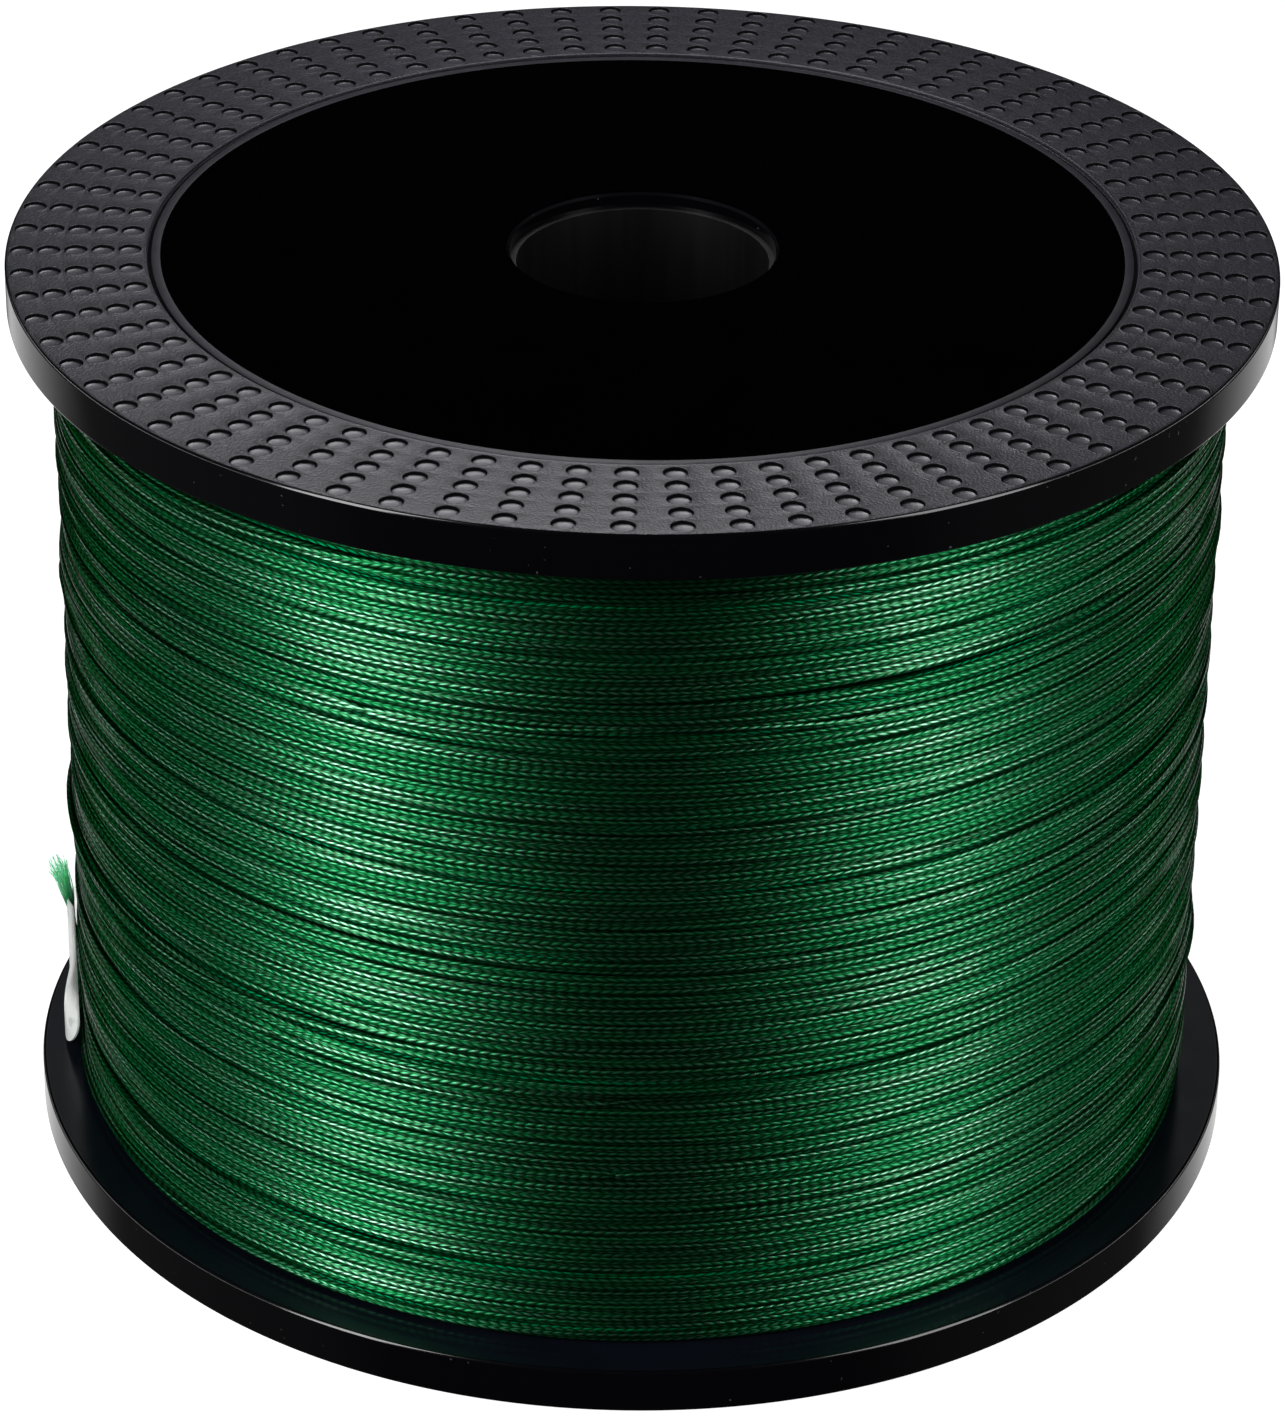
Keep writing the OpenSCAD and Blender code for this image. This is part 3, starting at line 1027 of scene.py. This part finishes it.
def frayed_tip(root):
    """Fibres that fan out of the tail: each one starts in the braid's section, and its
    tip lands on a wider, outward-leaning patch, with a bow between them."""
    rng = np.random.default_rng(7)
    out = unit(root * [1, 1, 0])
    side = np.array([-out[1], out[0], 0])
    up = np.array([0, 0, 1.0])
    spin = rng.uniform(0, TURN, FIBRES)
    spread = np.sqrt(rng.uniform(0, 1, FIBRES))
    a, b = spread * np.cos(spin), spread * np.sin(spin)
    rise = FIBRE_RISE - 1.7 * rng.uniform(0, 1, FIBRES) ** 2 - 0.5 * spread ** 2
    t = np.linspace(0, 1, FIBRE_STEPS)[None, :, None]
    foot = root + FOOT_R * (a[:, None] * out + b[:, None] * side) - FIBRE_ROOT * up
    lean = TIP_LEAN + TIP_OUT_R * a + rng.normal(0, TIP_STRAY, FIBRES)
    fan = TIP_SIDE_R * b + rng.normal(0, TIP_STRAY, FIBRES)
    bow = rng.normal(0, BOW, (FIBRES, 2))
    wave = np.sin(math.pi * t)
    path = (foot[:, None] + (rise[:, None, None] + FIBRE_ROOT) * t * up
            + (lean[:, None, None] * t ** 1.6 + bow[:, :1, None] * wave) * out
            + (fan[:, None, None] * t ** 1.4 + bow[:, 1:, None] * wave) * side)
    along = unit(np.gradient(path, axis=1))
    first = unit(np.cross(along, side))
    second = np.cross(along, first)
    turn = np.linspace(0, TURN, FIBRE_SIDES, endpoint=False)
    thick = FIBRE_HALF * (1 - 0.6 * t[0, :, 0])
    ring = (np.cos(turn)[:, None] * first[:, :, None] + np.sin(turn)[:, None] * second[:, :, None])
    points = path[:, :, None] + thick[:, None, None] * ring
    each = FIBRE_STEPS * FIBRE_SIDES
    start = (np.arange(FIBRES) * each)[:, None]
    walls = (start[:, None] + grid(FIBRE_STEPS, FIBRE_SIDES, wrap=True)).reshape(-1, 4)
    end = np.arange(FIBRE_SIDES)
    blocks = [walls, start + end[::-1], start + each - FIBRE_SIDES + end]
    share = np.tile(np.repeat(np.linspace(0, 1, FIBRE_STEPS), FIBRE_SIDES), FIBRES)
    corners = np.concatenate([block.ravel() for block in blocks])
    uv = np.stack([share[corners], np.zeros(len(corners))], -1)
    piece("line_frayed_tip", points.reshape(-1, 3), blocks, [FIBRE],
          ["line_tail"], uv=uv)


def tape_strip(face):
    """Clear tape over the loose end: a strip bent round the drum, lifted over the line
    by a ridge and peeled off in its lower part, with two rounded lower corners, given
    its thickness as a closed shell."""
    columns, rows = 33, 30
    s = np.linspace(-1, 1, columns)
    h = TAPE_H * np.linspace(0, 1, rows) ** 1.3
    cut = np.clip(TAPE_CORNER_R - h, 0, TAPE_CORNER_R)
    half = TAPE_W / 2 - TAPE_CORNER_R + np.sqrt(TAPE_CORNER_R ** 2 - cut ** 2)
    across = s * half[:, None]
    angle = face + across / WOUND_R
    ridge = RIDGE * np.exp(-(np.abs(across) / RIDGE_HALF) ** 2.2)
    peel = (PEEL - PEEL_CURL * across ** 2) * ease((PEEL_TOP - h[:, None]) / PEEL_RUN)
    inner = TAPE_R + np.maximum(ridge, peel)
    height = np.broadcast_to(TAPE_Z0 + h[:, None], inner.shape)
    sheets = [on_drum(inner + TAPE_T, angle, height), on_drum(inner, angle, height)]
    count = rows * columns
    front = grid(rows, columns)
    rim = np.concatenate([np.arange(columns), np.arange(1, rows) * columns + columns - 1,
                          (rows - 1) * columns + np.arange(columns - 2, -1, -1),
                          np.arange(rows - 2, 0, -1) * columns])
    edge = np.stack([rim, rim + count, np.roll(rim, -1) + count, np.roll(rim, -1)], -1)
    points = np.concatenate([sheet.reshape(-1, 3) for sheet in sheets])
    piece("end_tape_film", points, [front, front[:, ::-1] + count, edge], [TAPE],
          ["end_tape"], crease=50)


# ---- Studio ----

def softbox(name, azimuth, elevation, distance, size, power):
    """A rectangular lamp that looks at the spool's middle. Azimuth is measured from +X,
    anticlockwise from above, in degrees."""
    data = bpy.data.lights.new(name, "AREA")
    data.shape = "RECTANGLE"
    data.size, data.size_y = size
    data.energy = power
    a, e = math.radians(azimuth), math.radians(elevation)
    back = np.array([math.cos(e) * math.cos(a), math.cos(e) * math.sin(a), math.sin(e)])
    right = unit(np.cross([0, 0, 1.0], back))
    lamp = bpy.data.objects.new(name, data)
    lamp.visible_camera = False
    stand(lamp, right, np.cross(back, right), back, LAMP_AIM + distance * back)


def world():
    """White for the camera and through clear pieces. Glossy pieces see white below the
    horizon behind the spool, a bright strip just above the horizon at each side, a pale
    glow high behind the spool on either side of its middle, and little else."""
    scene_world = bpy.data.worlds.new("studio")
    bpy.context.scene.world = scene_world
    scene_world.use_nodes = True
    graph = Graph(scene_world.node_tree)
    camera_ray, clear_ray, glossy_ray = graph.rays()
    x, y, z = graph.split(graph.node("ShaderNodeTexCoord", output="Generated"))
    level = (x * x + y * y + 1e-6) ** 0.5
    ahead = y / level
    off_axis = (x * x) / (level * level)
    aside = off_axis.ramp(0.3, 0.9)
    notch = ahead.ramp(0.93, 0.992) * z.ramp(-0.5, -0.44)
    low = z.ramp(-0.62, -0.55) * (1 - z.ramp(-0.42, -0.34))
    behind = ahead.ramp(0.42, 0.95) * low * (1 - notch)
    strip = (z.ramp(-0.02, 0.03) - z.ramp(0.07, 0.12)) * aside * ahead.ramp(-0.75, -0.3)
    glow = (off_axis.ramp(0.002, 0.008) * (1 - off_axis.ramp(0.05, 0.10))
            * (z.ramp(0.46, 0.51) - z.ramp(0.58, 0.64)) * ahead.ramp(0.5, 0.6))
    seen = glossy_ray * (BACK_LIGHT * behind + SIDE_LIGHT * aside
                         + STRIP_LIGHT * strip + GLOW_LIGHT * glow)
    strength = camera_ray.highest(clear_ray).highest(seen).highest(REST_LIGHT)
    shader = graph.node("ShaderNodeBackground",
                        inputs={"Color": rgb(1, 1, 1), "Strength": strength})
    graph.node("ShaderNodeOutputWorld", inputs={"Surface": shader})


def floor():
    """A pale round floor, white to the camera, with the spool's soft shadow on it.
    Glossy rays pass it and find the world's own light and dark sides."""
    angles = np.linspace(0, TURN, 64, endpoint=False)
    points = lathe([(FLOOR_R, -FLOOR_GAP)], angles)
    mesh = bpy.data.meshes.new("floor")
    mesh.from_pydata((points * MM).tolist(), [], [list(range(len(points)))])
    ground = bpy.data.objects.new("floor", mesh)
    bpy.context.scene.collection.objects.link(ground)
    material = bpy.data.materials.new("pale_floor")
    material.use_nodes = True
    graph = Graph(material.node_tree)
    camera_ray, clear_ray, glossy_ray = graph.rays()
    white = graph.node("ShaderNodeEmission", inputs={"Color": rgb(1, 1, 1), "Strength": 0.86})
    pale = graph.node("ShaderNodeBsdfDiffuse", inputs={"Color": rgb(0.5, 0.5, 0.5)})
    dim = graph.node("ShaderNodeBsdfDiffuse", inputs={"Color": rgb(0.03, 0.03, 0.03)})
    away = graph.node("ShaderNodeBsdfTransparent")
    seen = graph.node("ShaderNodeAddShader", inputs={0: white, 1: pale})
    unseen = graph.node("ShaderNodeMixShader", inputs={0: glossy_ray, 1: dim, 2: away})
    shader = graph.node("ShaderNodeMixShader",
                        inputs={0: camera_ray.highest(clear_ray), 1: unseen, 2: seen})
    graph.node("ShaderNodeOutputMaterial", inputs={"Surface": shader})
    mesh.materials.append(material)


# ---- The spool and its studio ----

camera()
bpy.context.scene.view_settings.view_transform = "Standard"

GRAINED = finish(grained_plastic)
POLISHED = finish(gloss_plastic)
SHADED = finish(shaded_plastic)
CORE = finish(core_plastic)
SHADE_WALL = finish(shaded_dimple_wall)
BOTTOM = finish(dimple_bottom)
VARNISH = finish(label_varnish)
LABEL = finish(label_paper)
CREPE = finish(crepe_paper)
BRAID_GREEN = finish(braided_line)
UNDER_GREEN = finish(under_line)
BULK_GREEN = finish(wound_bulk)
FIBRE = finish(frayed_fibre)
TAPE = finish(clear_tape)

for node, material in (("barrel", CORE), ("arbor_tube", CORE), ("start_tape", CREPE)):
    mesh = frame["nodes"][node].data
    mesh.materials.clear()
    mesh.materials.append(material)

flange("flange_lower", "lower_flange", upper=False)
flange("flange_upper", "upper_flange", upper=True)
label("label_lower", "lower_label", upper=False)
label("label_upper", "upper_label", upper=True)
line_end = wind_line()
wound_body()
tip = loose_end(line_end)
frayed_tip(tip)
tape_strip(math.atan2(tip[1], tip[0]))

world()
floor()
for lamp in LAMPS:
    softbox(*lamp)
